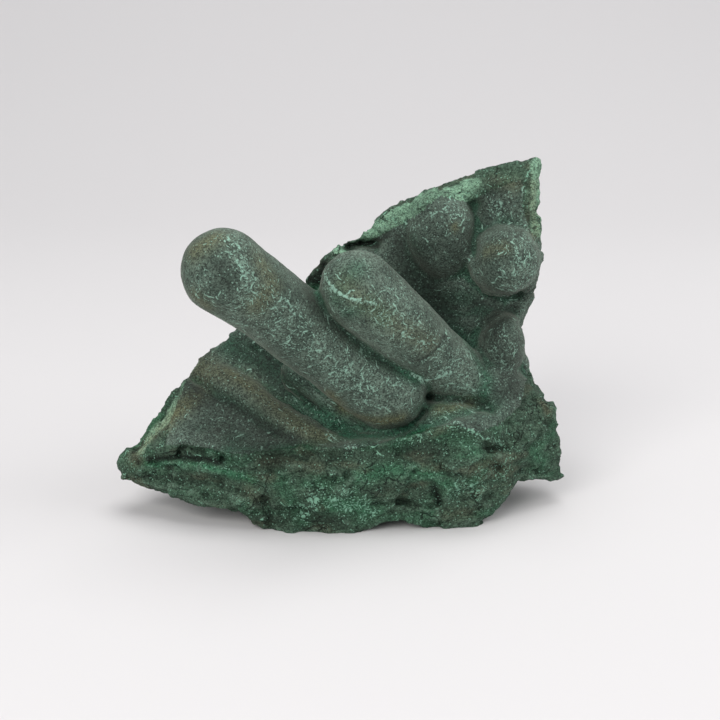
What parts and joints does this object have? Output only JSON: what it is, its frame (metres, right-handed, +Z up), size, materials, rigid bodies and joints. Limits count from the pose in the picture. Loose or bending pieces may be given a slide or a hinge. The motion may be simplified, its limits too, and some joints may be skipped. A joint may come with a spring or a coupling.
{
  "type": "malachite specimen",
  "caption": "Hand specimen of green malachite: round-ended stalactitic fingers and bun-shaped lumps on a broken wedge of rock, for display on a shelf or as set dressing.",
  "frame": {"origin": "middle of the footprint box, on the surface the specimen rests on", "axes": "+X to the specimen's right as the lining of the cavity is faced, along its length; +Y to its back; +Z up"},
  "size_m": [0.1019, 0.06, 0.0785],
  "materials": {
    "malachite": "dull, velvety, fine-grained dark green with pale mint specks; lighter green on fresh breaks"
  },
  "bodies": {
    "root": {"malachite": "malachite"}
  },
  "joints": []
}
